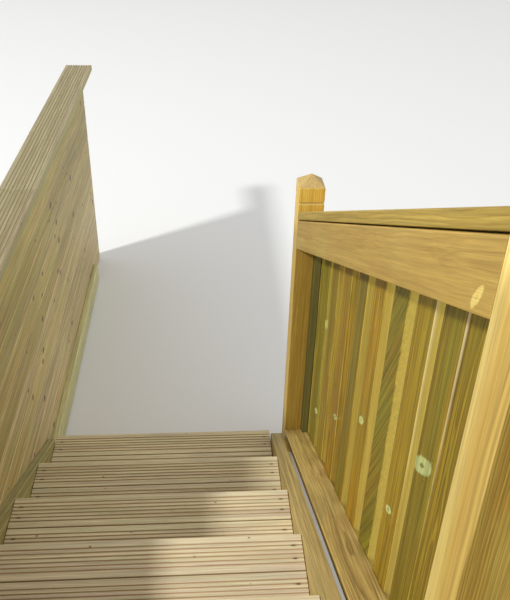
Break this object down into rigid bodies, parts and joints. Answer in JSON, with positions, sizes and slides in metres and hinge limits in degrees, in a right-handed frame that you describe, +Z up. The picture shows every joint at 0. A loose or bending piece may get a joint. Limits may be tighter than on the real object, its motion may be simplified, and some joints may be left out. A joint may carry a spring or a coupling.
{
  "type": "wooden deck stairs",
  "caption": "Straight timber flight from a raised landing to the ground, with grooved treads, a boarded railing on one side and a clad wall on the other.",
  "frame": {"origin": "on the ground, under the middle of the whole footprint", "axes": "+Z up, +Y the way the stair descends, +X towards the railing, away from the clad wall"},
  "size_m": [1.215, 4.702, 2.0668],
  "materials": {
    "tread": "weathered grooved softwood",
    "riser": "sawn softwood",
    "string": "planed softwood",
    "frame": "sawn treated softwood",
    "newel": "planed honey-coloured softwood",
    "handrail": "planed softwood",
    "rail_plank": "planed softwood",
    "bottom_rail": "planed softwood",
    "infill": "sawn green-treated softwood",
    "cladding": "planed softwood",
    "plinth": "planed softwood",
    "wall_cap": "weathered grooved softwood",
    "fixings": "weathered zinc-plated screws"
  },
  "bodies": {
    "root": {"stringer_right": "string", "stringer_left": "string", "tread_1": "tread", "tread_2": "tread", "tread_3": "tread", "tread_4": "tread", "tread_5": "tread", "riser_1": "riser", "riser_2": "riser", "riser_3": "riser", "riser_4": "riser", "riser_5": "riser", "riser_6": "riser", "tread_battens_right": "frame", "tread_battens_left": "frame", "landing_boards": "tread", "landing_front_beam": "frame", "landing_back_beam": "frame", "landing_side_beam": "frame", "landing_ledger": "frame", "landing_joist_1": "frame", "landing_joist_2": "frame", "newel_lower": "newel", "newel_upper": "newel", "newel_end": "newel", "stair_handrail": "handrail", "stair_rail_plank": "rail_plank", "stair_back_rail": "rail_plank", "stair_bottom_rail": "bottom_rail", "stair_infill": "infill", "stair_end_battens": "infill", "landing_handrail": "handrail", "landing_rail_plank": "rail_plank", "landing_back_rail": "rail_plank", "landing_bottom_rail": "bottom_rail", "landing_infill": "infill", "wall_post_1": "frame", "wall_post_2": "frame", "wall_post_3": "frame", "wall_post_4": "frame", "wall_post_5": "frame", "wall_post_6": "frame", "wall_cladding": "cladding", "wall_plinth": "plinth", "wall_cap": "wall_cap"}
  },
  "joints": []
}
